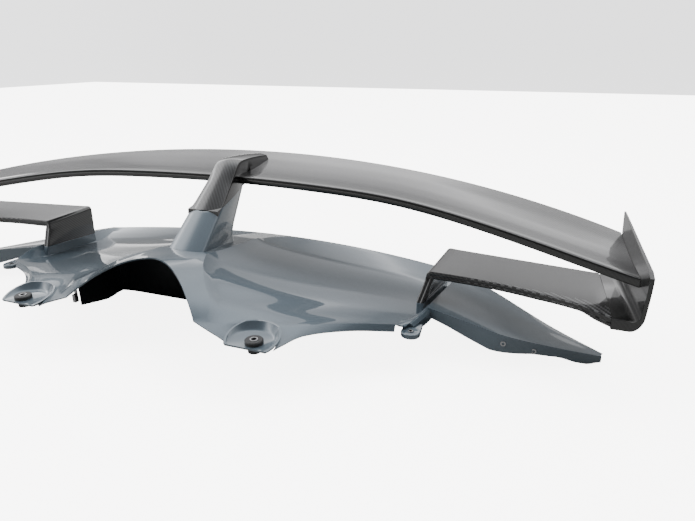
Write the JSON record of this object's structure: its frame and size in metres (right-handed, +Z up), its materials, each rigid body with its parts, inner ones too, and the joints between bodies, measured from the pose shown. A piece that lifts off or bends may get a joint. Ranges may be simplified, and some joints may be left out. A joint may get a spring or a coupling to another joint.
{
  "type": "racing rear wing",
  "caption": "Full-width rear wing: a painted base panel with a front arch, a leaning central pylon, a swept carbon wing and two leg-mounted winglets that turn up into endplates.",
  "frame": {"origin": "centre of the bottom of the bounding box, on the symmetry plane", "axes": "+X across the car along the wing's span, +Y towards the wing's trailing edge, +Z up; the edge with the arch and the two tabs faces -Y"},
  "size_m": [1.7724, 0.632, 0.3256],
  "materials": {
    "paint": "blue-grey body paint with clear coat over a moulded panel",
    "carbon": "two by two twill carbon under a clear coat",
    "inner": "fine-grained black moulding",
    "rubber": "matt black rubber",
    "steel": "zinc-plated steel",
    "aluminium": "milled aluminium",
    "foam": "structural foam core"
  },
  "bodies": {
    "root": {"base_panel": "paint", "clip_nut_left": "steel", "clip_nut_right": "steel", "endplate_left": "carbon", "endplate_right": "carbon", "endplate_screw_left_front": "steel", "endplate_screw_left_rear": "steel", "endplate_screw_right_front": "steel", "endplate_screw_right_rear": "steel", "flange_insert_left_inner": "steel", "flange_insert_left_outer": "steel", "flange_insert_right_inner": "steel", "flange_insert_right_outer": "steel", "inner_panel": "inner", "leg_screw_left_front": "steel", "leg_screw_left_rear": "steel", "leg_screw_right_front": "steel", "leg_screw_right_rear": "steel", "lug_insert_left": "steel", "lug_insert_right": "steel", "pylon_bracket": "aluminium", "pylon_cap": "carbon", "pylon_lower_shell": "paint", "pylon_screw_front": "steel", "pylon_screw_rear": "steel", "tab_bush_left": "rubber", "tab_bush_right": "rubber", "tab_sleeve_left": "steel", "tab_sleeve_right": "steel", "tip_block_left": "aluminium", "tip_block_right": "aluminium", "wing_lower_skin": "carbon", "wing_rib_left": "aluminium", "wing_rib_right": "aluminium", "wing_spar": "foam", "wing_upper_skin": "carbon", "winglet_left": "carbon", "winglet_right": "carbon"}
  },
  "joints": []
}
